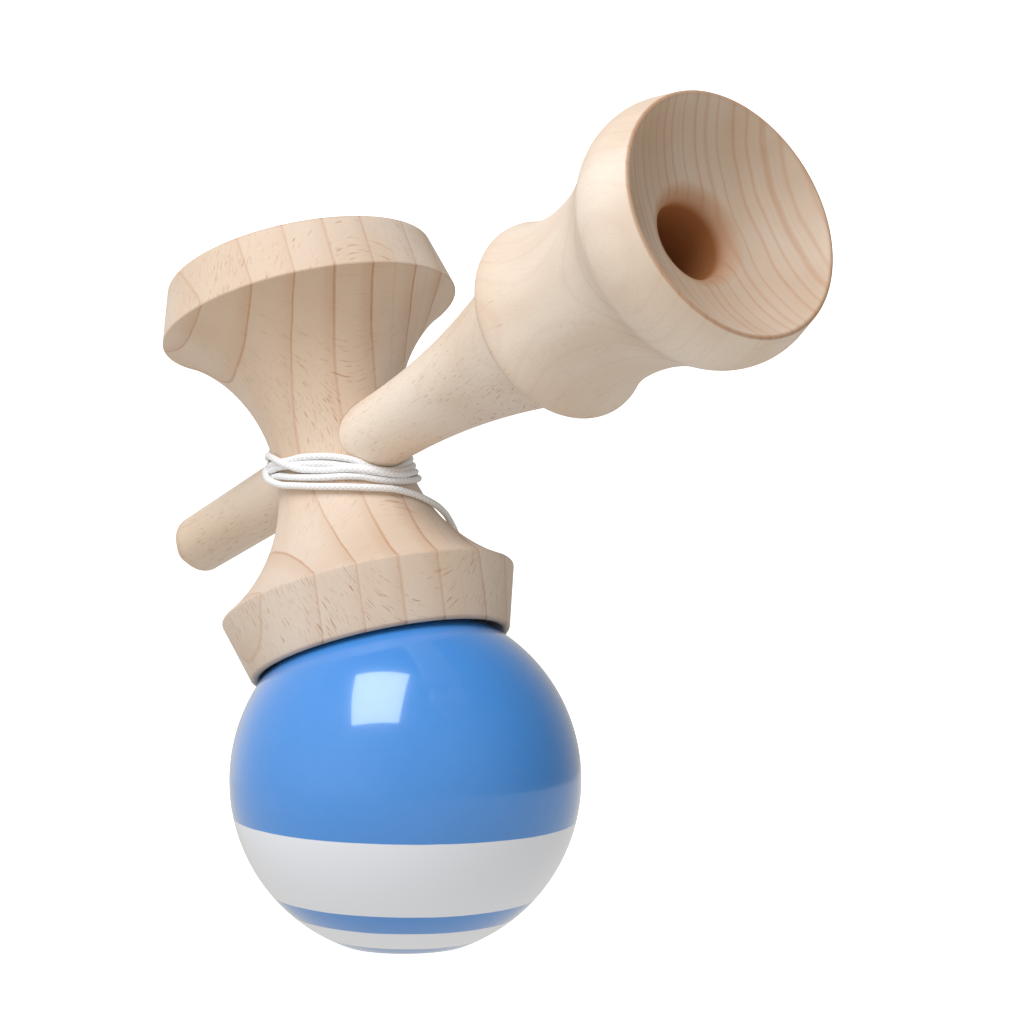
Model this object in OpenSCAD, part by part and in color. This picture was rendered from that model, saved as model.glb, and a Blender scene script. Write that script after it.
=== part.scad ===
// Cup and ball toy with a cross-piece of two cups, standing on its ball with the string wound up.
// Lengths are millimetres. +Z is up, +X is the heading of the handle towards its base cup.
// The origin is the centre of the ball's spike hole, on the surface that the ball stands on.

/* [Pose] */
// Lean of the cross-piece away from upright, towards the spike
lean = 20; // [12:0.5:24]

/* [Ball] */
// Diameter of the ball
ball_d = 61; // [58:0.5:70]
// Diameter of the ring that the ball stands on
stand_d = 22; // [21.2:0.2:26]
// Diameter of the spike hole
spike_hole_d = 19; // [16:0.5:20]
// Depth of the spike hole
spike_hole_depth = 30; // [26:0.5:34]
// Bevel at the mouth of the spike hole
spike_hole_bevel = 0.4; // [0.2:0.1:0.5]
// Diameter of the pocket for the bead above the spike hole
pocket_d = 12; // [11:0.5:15]
// Depth of the bead's pocket
pocket_depth = 14; // [13:0.5:16]
// Diameter of the string hole in the ball
string_hole_d = 3.2; // [2:0.1:4]

/* [Cross-piece] */
// Length of the cross-piece over both cups
cross_len = 73.7; // [69:0.1:80]
// Height of the handle's axis over the small cup's lip
axis_height = 37.1; // [35:0.1:39]
// Diameter of the waist
waist_d = 23.2; // [22:0.2:27]
// Radius of the hollow flanks
flank_r = 30.2; // [28:0.2:34]
// Diameter of the big cup over the middle of its lip
big_lip_d = 46.8; // [44:0.2:49]
// Diameter of the small cup over the middle of its lip
small_lip_d = 44.8; // [42:0.2:47]
// Radius of the rounded lips
lip_r = 0.9; // [0.6:0.1:1.6]
// Taper of the rim bands, each side
band_taper = 16; // [8:1:18]
// Round where a band meets its flank
corner_round = 0.7; // [0.3:0.1:1.2]
// Depth of the big bowl
big_bowl_depth = 12; // [10:0.5:14]
// Depth of the small bowl
small_bowl_depth = 11.5; // [10.5:0.5:13]

/* [Handle] */
// Spike's end, from the cross-piece's axis
spike_len = 53; // [48:0.5:62]
// Diameter of the spike behind its tip
spike_d = 11; // [10:0.2:12]
// Diameter of the spike's blunt end
tip_d = 6; // [4:0.2:8]
// Length of the bevelled tip
tip_len = 4.2; // [3:0.2:6]
// Round at the spike's blunt end
tip_round = 0.6; // [0.3:0.1:1]
// Diameter of the handle in the middle of the cross-piece
socket_d = 12.3; // [11.6:0.1:13]
// Growth of the handle's diameter through the cross-piece
socket_growth = 0.5; // [0.2:0.1:1]
// Radius of the handle's hollow sweep up to the collar
sweep_r = 180; // [150:1:220]
// Station of the collar's edge
collar_at = 66; // [62:0.5:72]
// Diameter of the collar
collar_d = 34; // [30:0.5:38]
// Radius of the collar's rounded edge
collar_edge_r = 1.6; // [1:0.1:2.2]
// Station of the narrowest place behind the base cup
neck_at = 76; // [74:0.5:79]
// Diameter of the narrowest place
neck_d = 29.8; // [27:0.2:32]
// Radius of the hollow behind the base cup
neck_r = 39.5; // [36:0.5:48]
// Station of the base cup's lip
base_len = 108.4; // [105:0.2:114]
// Diameter of the base cup over the middle of its lip
base_lip_d = 39.8; // [37:0.2:40.6]
// Radius of the base cup's rounded lip
base_lip_r = 0.5; // [0.4:0.1:1]
// Diameter of the base cup where it is widest
base_d = 43.8; // [42.4:0.2:46]
// Radius of the base cup's round where it is widest
base_round = 3.2; // [2:0.2:4]
// Depth of the base cup's bowl
base_bowl_depth = 9.5; // [8:0.5:11]
// Diameter of the hole in the base cup
base_hole_d = 12.6; // [9:0.2:14]
// Depth of the hole behind the bowl
base_hole_depth = 20; // [12:0.5:22]
// Radius of the hole's rounded mouth
base_hole_round = 3; // [1:0.1:3.6]

/* [String] */
// Diameter of the string
cord_d = 1.2; // [1:0.1:1.4]
// Diameter of the holes for the string in the cross-piece and the handle
cord_hole_d = 3; // [2.4:0.1:3.4]
// Thickness of the string where the cup presses it flat
cord_flat = 0.5; // [0.4:0.1:0.8]
// Rise and fall of the winding under the handle and over the spike
wind_swing = 9.2; // [9.2:0.1:10]
// Diameter of the bead
bead_d = 9; // [8:0.2:10]
// Diameter of the knots
knot_d = 3.8; // [3.2:0.1:4.2]

/* [Clearances] */
// Taper fit between the handle and the cross-piece
fit_gap = 0.05; // [0.03:0.01:0.1]
// Gap between the cup and the ball on the side away from the string
cup_gap = 0.5; // [0.2:0.05:0.6]
// Gap between the string and what it lies on
cord_gap = 0.15; // [0.1:0.05:0.3]
// Gap between the flat string and the ball, and the cup over it
press_gap = 0.24; // [0.15:0.01:0.4]
// Gap between two layers of the winding
layer_gap = 0.55; // [0.5:0.05:0.7]
// Gap over the bead and over the knot in the handle
seat_gap = 0.3; // [0.2:0.05:0.5]

/* [Hidden] */
$fn = 96;
eps = 0.01;
big = 200;

// Where the ball stands
ball_r = ball_d / 2;
ball_z = sqrt(ball_r * ball_r - stand_d * stand_d / 4);
pocket_top = spike_hole_depth + pocket_depth;
ball_top = ball_z + ball_r;

// The small cup's lip rides on the string on one side, so it is set off the ball's centre
cord_side_gap = cord_flat + 2 * press_gap;
mean_gap = (cup_gap + cord_side_gap) / 2;
lip_reach = ball_r + lip_r + mean_gap;
lip_above_ball = sqrt(lip_reach * lip_reach - small_lip_d * small_lip_d / 4);
cross_rise = axis_height - lip_r + lip_above_ball;
side_shift = (cord_side_gap - cup_gap) / 2 * lip_reach / (small_lip_d / 2);

wood = [0.87, 0.77, 0.64];
paint = [0.25, 0.52, 0.86];
white = [0.95, 0.95, 0.93];

// Points along an arc of a circle
function arc(centre, r, from, to, steps) =
  [for (i = [0:steps]) let (a = from + (to - from) * i / steps) centre + r * [cos(a), sin(a)]];
function but_last(list) = [for (i = [0:len(list) - 2]) list[i]];
function unit(v) = v / norm(v);
function square_to(v, axis) = unit(v - (v * axis) * axis);
function smooth(from, to, x) = let (u = max(0, min(1, (x - from) / (to - from)))) u * u * (3 - 2 * u);
function ramp(from, to, x) = max(0, min(1, (x - from) / (to - from)));

// Places its children in the cross-piece's own frame: Z up its axis, X along the handle
module in_cross_frame() {
  translate([0, side_shift, ball_z])
    rotate([0, -lean, 0])
      translate([0, 0, cross_rise])
        children();
}

// The way back for a point: from the part's frame into the cross-piece's
function to_cross_frame(p) =
  let (z = p[2] - ball_z)
    [p[0] * cos(lean) + z * sin(lean), p[1] - side_shift, z * cos(lean) - p[0] * sin(lean) - cross_rise];

// Sweeps an oval along a path; start gives the direction that half_t is measured in at the first point
function tangent(path, i) = unit(path[min(i + 1, len(path) - 1)] - path[max(i - 1, 0)]);
function normals(path, start) =
  [for (i = 0, n = square_to(start, tangent(path, 0)); i < len(path);
        i = i + 1, n = i < len(path) ? square_to(n, tangent(path, i)) : n) n];

module sweep(path, half_t, half_w, start, sides) {
  ns = normals(path, start);
  points = [
    for (i = [0:len(path) - 1])
      let (side = cross(tangent(path, i), ns[i]))
        for (j = [0:sides - 1])
          let (a = 360 * (j + 0.5) / sides) path[i] + half_t * cos(a) * ns[i] + half_w * sin(a) * side
  ];
  last = (len(path) - 1) * sides;
  skin = [
    for (i = [0:len(path) - 2])
      for (j = [0:sides - 1])
        let (a = i * sides + j, b = i * sides + (j + 1) % sides)
          each [[a, a + sides, b], [b, a + sides, b + sides]]
  ];
  caps = [for (j = [1:sides - 2]) each [[0, j, j + 1], [last, last + j + 1, last + j]]];
  polyhedron(points, concat(skin, caps));
}

// Smooth curve through points; before and after steer its ends
function spline(points, before, after, steps) =
  let (p = concat([before], points, [after]), n = len(points))
    [for (i = [1:n - 1]) for (k = [0:i == n - 1 ? steps : steps - 1])
      let (u = k / steps)
        0.5 * (2 * p[i] + u * (p[i + 1] - p[i - 1])
          + u * u * (2 * p[i - 1] - 5 * p[i] + 4 * p[i + 1] - p[i + 2])
          + u * u * u * (3 * p[i] - p[i - 1] - 3 * p[i + 1] + p[i + 2]))];

// Ball: turned sphere with a bevelled spike hole, the bead's pocket and the string hole
module ball() {
  bevel = spike_hole_bevel + eps;
  color(paint)
    difference() {
      translate([0, 0, ball_z]) sphere(d = ball_d);
      translate([-big / 2, -big / 2, -big]) cube(big);
      translate([0, 0, -eps]) cylinder(d = spike_hole_d, h = spike_hole_depth + eps);
      translate([0, 0, -eps]) cylinder(d1 = spike_hole_d + 2 * bevel, d2 = spike_hole_d, h = bevel);
      translate([0, 0, spike_hole_depth - eps]) cylinder(d = pocket_d, h = pocket_depth + eps);
      translate([0, 0, pocket_top - eps]) cylinder(d = string_hole_d, h = ball_top);
    }
}

// Bead that holds the string in the ball: drilled, with flat ends
bead_h = bead_d - 1;
bead_z = pocket_top - seat_gap - bead_h;
bead_hole_d = cord_d + 4 * cord_gap;

module bead() {
  color(wood)
    translate([0, 0, bead_z + bead_h / 2])
      difference() {
        sphere(d = bead_d);
        for (side = [-1, 1])
          translate([0, 0, side * (bead_h + bead_d) / 2]) cube([2 * bead_d, 2 * bead_d, bead_d], center = true);
        cylinder(d = bead_hole_d, h = bead_d, center = true);
      }
}

// A pulled-tight knot on a string that comes from +Z: a fat and a lean bulge, flat on top
knot_flat = knot_d / 2 - 0.2;
module knot() {
  difference() {
    union() {
      sphere(d = knot_d);
      translate([0, 0, -knot_d * 0.12]) sphere(d = knot_d * 0.92);
    }
    translate([-big / 2, -big / 2, knot_flat]) cube(big);
  }
}

module bead_knot() {
  color(white) translate([0, 0, bead_z - cord_gap - knot_flat]) knot();
}

// String from the top of the ball down to the knot under the bead
drop_bottom = bead_z - cord_gap;
drop_top = ball_top + cord_d;
module cord_drop() {
  color(white) translate([0, 0, drop_bottom]) cylinder(d = cord_d, h = drop_top - drop_bottom);
}

// A lip runs out into its bowl where the lip's circle has turned this far
lip_end = 180 - acos(0.8);
function bowl_mouth(lip_d, lip) = lip_d / 2 - 0.8 * lip;
function bowl_radius(lip_d, lip, depth) =
  let (m = bowl_mouth(lip_d, lip), d = depth - 0.4 * lip) (m * m + d * d) / (2 * d);

// Radius of the waist's surface at a height over the handle's axis
function waist_at(h) = waist_d / 2 + flank_r - sqrt(flank_r * flank_r - h * h);

// The waist is straight as far as the string hole reaches
waist_turn = asin(0.65 * cord_hole_d / flank_r);

// Outline of one end of the cross-piece, from its bowl's middle over the lip to the waist
function cup_outline(lip_d, depth, height) =
  let (
    lip = [lip_d / 2, height - lip_r],
    edge = lip + lip_r * [cos(band_taper), sin(band_taper)],
    bowl_r = bowl_radius(lip_d, lip_r, depth),
    bowl_c = [0, height - depth + bowl_r],
    mouth = atan2(depth - 0.4 * lip_r - bowl_r, bowl_mouth(lip_d, lip_r)),
    // Where the band's straight line runs into the flank's circle
    flank_c = [waist_d / 2 + flank_r, 0],
    down = [sin(band_taper), -cos(band_taper)],
    v = edge - flank_c,
    run = -v * down - sqrt((v * down) * (v * down) - v * v + flank_r * flank_r),
    corner = edge + run * down,
    into = unit([flank_c[1] - corner[1], corner[0] - flank_c[0]]),
    first = atan2(corner[1] + corner_round * into[1] - flank_c[1], corner[0] + corner_round * into[0] - flank_c[0])
  ) concat(
    but_last(arc(bowl_c, bowl_r, -90, mouth, 16)),
    arc(lip, lip_r, lip_end, band_taper, 10),
    [corner - corner_round * down, corner + corner_round * 0.25 * (into - down)],
    arc(flank_c, flank_r, first, 180 - waist_turn, 16)
  );

socket_half = waist_d / 2;
// Radius of the handle inside the cross-piece, at a station along it
function socket_at(s) = socket_d / 2 + socket_growth / 2 * s / socket_half;

// Cross-piece: turned in one piece, a hollow-flanked spool with a bowl in each end
module cross_cup() {
  upper = cup_outline(big_lip_d, big_bowl_depth, cross_len - axis_height);
  lower = cup_outline(small_lip_d, small_bowl_depth, axis_height);
  last = len(lower) - 1;
  reach = waist_d;
  color(wood)
    in_cross_frame()
      difference() {
        rotate_extrude()
          polygon(concat(upper, [for (i = [last:-1:0]) [lower[i][0], -lower[i][1]]]));
        // Tapered socket for the handle
        rotate([0, 90, 0])
          translate([0, 0, -reach])
            cylinder(r1 = socket_at(-reach) + fit_gap, r2 = socket_at(reach) + fit_gap, h = 2 * reach);
        // String hole in the side, into the socket
        rotate([-90, 0, 0]) cylinder(d = cord_hole_d, h = waist_d);
      }
}

// Handle: turned in one piece from the spike through the collar to the base cup
sweep_from = socket_half + 2;
collar_back = collar_at - collar_edge_r;
collar_front = collar_at + 2 * collar_edge_r;
// Point of a hollow that is narrowest, r0, at station s0
function hollow_at(r0, s0, r, s) = [r0 + r - sqrt(r * r - (s - s0) * (s - s0)), s];

// The base cup's widest round meets the hollow behind it and the straight band to its lip
neck_c = [neck_d / 2 + neck_r, neck_at];
base_round_c = let (x = base_d / 2 - base_round, dx = neck_c[0] - x, d = neck_r + base_round)
  [x, neck_at + sqrt(d * d - dx * dx)];
base_lip_c = [base_lip_d / 2, base_len - base_lip_r];
hollow_turn = atan2(neck_at - base_round_c[1], neck_c[0] - base_round_c[0]);
hollow_end = base_round_c[1] + base_round * sin(hollow_turn);
base_band = let (v = base_lip_c - base_round_c)
  atan2(-v[0], v[1]) + asin((base_round - base_lip_r) / norm(v));

// The base cup's bowl, and the round that leads from it into its hole
base_bowl_r = bowl_radius(base_lip_d, base_lip_r, base_bowl_depth);
base_bowl_c = [0, base_len - base_bowl_depth + base_bowl_r];
base_mouth = atan2(base_bowl_depth - 0.4 * base_lip_r - base_bowl_r, bowl_mouth(base_lip_d, base_lip_r));
hole_r = base_hole_d / 2;
hole_round_c = let (x = hole_r + base_hole_round, d = base_bowl_r + base_hole_round)
  [x, base_bowl_c[1] - sqrt(d * d - x * x)];
hole_turn = atan2(base_bowl_c[1] - hole_round_c[1], -hole_round_c[0]);
hole_bottom = base_len - base_bowl_depth - base_hole_depth;

handle_outline = concat(
  [[0, -spike_len]],
  arc([tip_d / 2 - tip_round, -spike_len + tip_round], tip_round, -90, -30, 3),
  [[spike_d / 2, -spike_len + tip_len], [socket_at(-socket_half), -socket_half]],
  [for (i = [0:14]) hollow_at(socket_at(sweep_from), sweep_from, sweep_r,
    sweep_from + (collar_back - sweep_from) * i / 14)],
  arc([collar_d / 2 - collar_edge_r, collar_at], collar_edge_r, -90, 60, 8),
  [for (i = [0:15]) hollow_at(neck_d / 2, neck_at, neck_r,
    collar_front + (hollow_end - collar_front) * i / 16)],
  arc(base_round_c, base_round, hollow_turn, base_band, 8),
  but_last(arc(base_lip_c, base_lip_r, base_band, lip_end, 8)),
  but_last(arc(base_bowl_c, base_bowl_r, base_mouth, hole_turn - 180, 12)),
  arc(hole_round_c, base_hole_round, hole_turn, 180, 6),
  [[hole_r, hole_bottom], [0, hole_bottom]]
);

// The knot's recess in the handle is on the side away from the string hole
recess_d = knot_d + 2 * seat_gap;
recess_floor = socket_d / 2 - knot_d - 2 * seat_gap;

module handle() {
  color(wood)
    in_cross_frame()
      difference() {
        rotate([0, 90, 0]) rotate_extrude() polygon(handle_outline);
        rotate([90, 0, 0]) cylinder(d = cord_hole_d, h = waist_d, center = true);
        rotate([90, 0, 0]) translate([0, 0, recess_floor]) cylinder(d = recess_d, h = waist_d);
      }
}

// String through the handle, with the knot that holds it
module handle_knot() {
  knot_z = recess_floor + seat_gap + knot_d / 2;
  color(white)
    in_cross_frame()
      rotate([90, 0, 0])
        union() {
          translate([0, 0, -socket_d / 2]) cylinder(d = cord_d, h = knot_z + socket_d / 2);
          translate([0, 0, knot_z]) sphere(d = knot_d);
        }
}

// String in the cross-piece's string hole, from the handle to the winding
lead_end = waist_d / 2 - 2;
module cord_lead() {
  from = socket_d / 2 + fit_gap;
  color(white)
    in_cross_frame()
      rotate([-90, 0, 0])
        translate([0, 0, from]) cylinder(d = cord_d, h = lead_end - from);
}

// Winding: turns is counted from the string hole. The string runs under the handle and over the spike.
// It works down in one layer, climbs, works up in a second, then drops over both into a loose last turn.
wind_turns = 4.8;
wind_rise = 1.9;
wind_fall = 2.4;
wind_drop = 3.4;
hole_detour = 2.6;
layer_step = cord_d + layer_gap;
function wind_height(t) =
  let (a = 90 + 360 * t)
    -wind_swing * cos(a)
    + wind_rise * smooth(0, 0.12, t)
    - (wind_rise + wind_fall) * ramp(0.12, 2.1, t)
    + (wind_rise + wind_fall) * ramp(2.4, 4.3, t)
    - (wind_rise + wind_drop) * smooth(4.25, 4.75, t)
    - hole_detour * pow(max(0, sin(a)), 4) * smooth(0.3, 0.6, t);
function wind_layer(t) = smooth(1.95, 2.45, t) + smooth(4.15, 4.4, t) - 1.2 * smooth(4.65, 4.9, t);
function wind_at(t) =
  let (
    a = 90 + 360 * t,
    h = wind_height(t),
    r = waist_at(h) + cord_d / 2 + cord_gap + layer_step * wind_layer(t)
  ) [r * cos(a), r * sin(a), h];

// It leaves the last turn straight
wind_dir = unit(wind_at(wind_turns) - wind_at(wind_turns - 0.01));
wind_out = wind_at(wind_turns) + cord_d * wind_dir;

// The string comes straight out of its hole and bends into the first turn
wind_start = 0.035;
hole_out = [0, waist_d / 2 - 0.6, 0];
hole_over = [0, waist_d / 2 + 1.2, 0];
wind_path = concat(
  [[0, lead_end, 0]],
  [for (i = [0:5]) let (u = i / 6)
    (1 - u) * (1 - u) * hole_out + 2 * u * (1 - u) * hole_over + u * u * wind_at(wind_start)],
  [for (i = [0:24 * wind_turns - 1])
    wind_at(wind_start + (wind_turns - wind_start) * i / (24 * wind_turns - 1))],
  [wind_out]
);

// Least gap of the winding to itself, on points 4 degrees apart, leaving out the nearest third of a turn
fine = [for (i = [0:90 * wind_turns]) wind_at(i / 90)];
least_gap = min([for (i = [0:len(fine) - 31]) for (j = [i + 30:len(fine) - 1]) norm(fine[i] - fine[j])]) - cord_d;
echo(least_gap_of_winding = least_gap);

module cord_winding() {
  color(white) in_cross_frame() sweep(wind_path, cord_d / 2, cord_d / 2, [0, 0, 1], 6);
}

// Under the cup the string lies flat on the ball, on one upright plane through the ball's middle
bridge_heading = 121;
bridge_from = 58;
bridge_r = ball_r + press_gap + cord_flat / 2;
cord_flat_w = cord_d * cord_d / cord_flat;
bridge_to = 2 * asin((cord_d / 2 + seat_gap) / 2 / bridge_r);
function bridge_at(a) =
  let (r = bridge_r + (cord_d - cord_flat) / 2 * ramp(bridge_from - 5, bridge_from, a))
    [r * sin(a) * cos(bridge_heading), r * sin(a) * sin(bridge_heading), ball_z + r * cos(a)];

module cord_bridge() {
  steps = 14;
  path = [for (i = [0:steps]) bridge_at(bridge_from + (bridge_to - bridge_from) * i / steps)];
  color(white) sweep(path, cord_flat / 2, cord_flat_w / 2, path[0] - [0, 0, ball_z], 8);
}

// Tail: off the winding, behind the flank and over the rim, then in a slack loop down to the ball.
// Points are in the cross-piece's frame.
tail_route = [
  [15, 9, -14], [13.4, 13.4, -16], [10.4, 18, -18.8], [6, 22.8, -21.8], [1, 26.2, -24.6],
  [-4, 27.8, -26.8], [-7.6, 28, -29.4], [-10, 28, -32.8], [-11.4, 27.8, -36.2], [-12, 26.8, -39.4],
  [-11.4, 25, -41.2], [-9.6, 23.2, -40.8]
];
tail_end = to_cross_frame(bridge_at(bridge_from));
module cord_tail() {
  path = spline(
    concat([wind_out, wind_out + cord_d * wind_dir], tail_route, [tail_end]),
    wind_at(wind_turns), to_cross_frame(bridge_at(bridge_from - 5)), 3
  );
  color(white) in_cross_frame() sweep(path, cord_d / 2, cord_d / 2, [0, 0, 1], 8);
}

ball();
bead();
bead_knot();
cord_drop();
cross_cup();
cord_lead();
cord_winding();
cord_tail();
cord_bridge();
handle();
handle_knot();
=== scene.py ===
import math

import bpy
import numpy as np
from mathutils import Matrix, Vector


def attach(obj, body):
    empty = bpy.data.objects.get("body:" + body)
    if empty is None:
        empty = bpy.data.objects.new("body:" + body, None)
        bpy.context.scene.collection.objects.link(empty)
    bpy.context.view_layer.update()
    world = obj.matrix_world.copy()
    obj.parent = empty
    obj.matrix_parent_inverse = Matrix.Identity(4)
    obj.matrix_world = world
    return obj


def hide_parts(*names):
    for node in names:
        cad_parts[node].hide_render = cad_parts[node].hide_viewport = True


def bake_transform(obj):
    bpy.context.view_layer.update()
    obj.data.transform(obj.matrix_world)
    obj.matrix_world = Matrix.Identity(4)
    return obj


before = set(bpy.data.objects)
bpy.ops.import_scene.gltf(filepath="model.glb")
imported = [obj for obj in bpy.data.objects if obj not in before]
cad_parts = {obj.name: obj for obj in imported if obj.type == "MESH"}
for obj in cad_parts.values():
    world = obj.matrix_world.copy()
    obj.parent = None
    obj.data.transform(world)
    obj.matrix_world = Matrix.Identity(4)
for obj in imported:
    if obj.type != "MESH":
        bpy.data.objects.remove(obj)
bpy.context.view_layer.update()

# Sizes are millimetres and become metres where meshes are made. They are the part's own, but for small
# bevels that only the scene has, and for CORNER_ROUND, BASE_ROUND and BASE_HOLE_ROUND, which follow the
# photograph more closely
MM = 0.001

# Ball
BALL_R = 30.5
STAND_R = 11.0
SPIKE_HOLE_R = 9.5
SPIKE_HOLE_DEPTH = 30.0
SPIKE_HOLE_BEVEL = 0.4
POCKET_R = 6.0
POCKET_TOP = 44.0
STRING_HOLE_R = 1.6
STRING_HOLE_BEVEL = 0.3
STRING_HOLE_BEVEL_DEPTH = 0.35
PAINT_REACH = 1.2
BARE_MARGIN = 0.1
BALL_Z = math.sqrt(BALL_R ** 2 - STAND_R ** 2)

# Cross-piece, in its own frame: Z up its axis, X along the handle
LEAN = math.radians(20)
TOP_HEIGHT = 36.6
AXIS_HEIGHT = 37.1
WAIST_R = 11.6
FLANK_R = 30.2
BIG_LIP_R = 23.4
SMALL_LIP_R = 22.4
LIP_ROUND = 0.9
BAND_TAPER = math.radians(16)
CORNER_ROUND = 0.4
BIG_BOWL_DEPTH = 12.0
SMALL_BOWL_DEPTH = 11.5
SOCKET_R = 6.15
SOCKET_SLOPE = 0.25 / WAIST_R
FIT_GAP = 0.05
CORD_HOLE_R = 1.5

# The small cup's lip stands clear of the ball, further on the string's side
CUP_GAP = 0.5
CORD_SIDE_GAP = 0.98
LIP_REACH = BALL_R + LIP_ROUND + (CUP_GAP + CORD_SIDE_GAP) / 2
CROSS_RISE = AXIS_HEIGHT - LIP_ROUND + math.sqrt(LIP_REACH ** 2 - SMALL_LIP_R ** 2)
SIDE_SHIFT = (CORD_SIDE_GAP - CUP_GAP) / 2 * LIP_REACH / SMALL_LIP_R

# Handle, in stations along its axis from the cross-piece's axis
SPIKE_LEN = 53.0
SPIKE_R = 5.5
TIP_R = 3.0
TIP_LEN = 4.2
TIP_ROUND = 0.6
TIP_FADE = 2.0
SWEEP_FROM = WAIST_R + 2
SWEEP_R = 180.0
COLLAR_AT = 66.0
COLLAR_R = 17.0
COLLAR_EDGE_R = 1.6
NECK_AT = 76.0
NECK_R = 14.9
NECK_HOLLOW_R = 39.5
BASE_LEN = 108.4
BASE_R = 21.9
BASE_ROUND = 10.0
BASE_LIP_R = 19.9
BASE_LIP_ROUND = 0.5
BASE_BOWL_DEPTH = 9.5
BASE_HOLE_R = 6.3
BASE_HOLE_DEPTH = 20.0
BASE_HOLE_ROUND = 4.2
BASE_HOLE_ROW = 6.0

# String, with its knots and its bead
CORD_D = 1.2
CORD_FLAT = 0.5
CORD_GAP = 0.15
PRESS_GAP = 0.24
SEAT_GAP = 0.3
KNOT_D = 3.8
KNOT_SWELL = 2.4
BEAD_R = 4.5
BEAD_HALF_H = 4.0
BEAD_HOLE_R = 0.9
BEAD_BEVEL = 0.25
BEAD_BEVEL_DEPTH = 0.3
STRING_PAST_BEAD = 1.0
BEAD_Z = POCKET_TOP - SEAT_GAP - BEAD_HALF_H

CROSS_FRAME = (
    Matrix.Translation((0, SIDE_SHIFT * MM, BALL_Z * MM))
    @ Matrix.Rotation(-LEAN, 4, "Y")
    @ Matrix.Translation((0, 0, CROSS_RISE * MM))
)
HANDLE_FRAME = CROSS_FRAME @ Matrix.Rotation(math.pi / 2, 4, "Y")
BALL_FRAME = Matrix.Translation((0, 0, BALL_Z * MM))

# Camera at the photograph's angle, from the sizes of the circles in it; its distances are metres
CAMERA_AZIMUTH = math.radians(51.1)
CAMERA_ELEVATION = math.radians(1.45)
CAMERA_DISTANCE = 0.480
CAMERA_LENS = 97.5
SENSOR_WIDTH = 36
NEAREST_SEEN = 0.01
AIM_RIGHT = 0.01843
AIM_UP = 0.04635

RIGHT = Vector((math.cos(CAMERA_AZIMUTH), math.sin(CAMERA_AZIMUTH), 0))
BACK = Vector((
    math.sin(CAMERA_AZIMUTH) * math.cos(CAMERA_ELEVATION),
    -math.cos(CAMERA_AZIMUTH) * math.cos(CAMERA_ELEVATION),
    math.sin(CAMERA_ELEVATION),
))
UP = BACK.cross(RIGHT)
BALL_CENTRE = Vector((0, 0, BALL_Z * MM))


def add_camera():
    """The camera, aimed to the right of the ball's centre and above it."""
    data = bpy.data.cameras.new("camera")
    data.lens = CAMERA_LENS
    data.sensor_width = SENSOR_WIDTH
    data.clip_start = NEAREST_SEEN
    camera = bpy.data.objects.new("camera", data)
    bpy.context.collection.objects.link(camera)
    turn = Matrix((RIGHT, UP, BACK)).transposed().to_4x4()
    aim = BALL_CENTRE + RIGHT * AIM_RIGHT + Vector((0, 0, AIM_UP))
    camera.matrix_world = Matrix.Translation(aim + BACK * CAMERA_DISTANCE) @ turn
    bpy.context.scene.camera = camera


add_camera()


# Meshes
def add_mesh(name, points, faces, matrix=Matrix.Identity(4)):
    mesh = bpy.data.meshes.new(name)
    mesh.from_pydata([tuple(p) for p in points], [], faces)
    mesh.update()
    obj = bpy.data.objects.new(name, mesh)
    obj.matrix_world = matrix
    bpy.context.collection.objects.link(obj)
    return obj


def arc(centre, radius, start, end, steps):
    """Points on a circle, from one angle in degrees to another."""
    turns = [math.radians(start + (end - start) * i / steps) for i in range(steps + 1)]
    return [(centre[0] + radius * math.cos(a), centre[1] + radius * math.sin(a)) for a in turns]


def set_smooth(obj, sharp_angle=40):
    """Smooth shading, but for edges that turn by more than an angle in degrees."""
    mesh = obj.data
    mesh.polygons.foreach_set("use_smooth", [True] * len(mesh.polygons))
    mesh.set_sharp_from_angle(angle=math.radians(sharp_angle))


def lathe(name, profile, matrix, ring=False, turns=256):
    """Turns a profile of (radius, station, darkening) about the local Z axis; the darkening is burnish, and
    painted shade in the base's hole.

    A ring profile closes on itself; any other begins and ends on the axis."""
    points = []
    burnish = []
    rows = []
    for r, s, dark in profile:
        if r < 1e-6:
            rows.append([len(points)] * turns)
            points.append((0, 0, s * MM))
            burnish.append(dark)
            continue
        rows.append(list(range(len(points), len(points) + turns)))
        for i in range(turns):
            a = 2 * math.pi * i / turns
            points.append((r * MM * math.cos(a), r * MM * math.sin(a), s * MM))
            burnish.append(dark)
    pairs = list(zip(rows, rows[1:] + rows[:1])) if ring else list(zip(rows, rows[1:]))
    faces = []
    for low, high in pairs:
        for i in range(turns):
            j = (i + 1) % turns
            face = []
            for corner in (low[i], low[j], high[j], high[i]):
                if corner not in face:
                    face.append(corner)
            if len(face) > 2:
                faces.append(face)
    obj = add_mesh(name, points, faces, matrix)
    attribute = obj.data.attributes.new("burnish", "FLOAT", "POINT")
    attribute.data.foreach_set("value", burnish)
    return obj


def cut(obj, *cutters):
    """Takes the cutters' solids out of a mesh and deletes them."""
    for cutter in cutters:
        step = obj.modifiers.new("cut", "BOOLEAN")
        step.operation = "DIFFERENCE"
        step.solver = "EXACT"
        step.object = cutter
    bpy.context.view_layer.update()
    shaped = obj.evaluated_get(bpy.context.evaluated_depsgraph_get())
    obj.data = bpy.data.meshes.new_from_object(shaped)
    obj.modifiers.clear()
    for cutter in cutters:
        bpy.data.objects.remove(cutter)


def drill(radius_from, radius_to, start, end, matrix):
    """A cone or cylinder along the local Z axis, to cut with."""
    profile = [(0, start, 0), (radius_from, start, 0), (radius_to, end, 0), (0, end, 0)]
    return lathe("drill", profile, matrix, turns=96)


def plain(points, burnish=0.0):
    """Points of an outline that share one darkening, from burnish and, in the base's hole, painted shade.
    """
    return [(r, s, burnish) for r, s in points]


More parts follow.
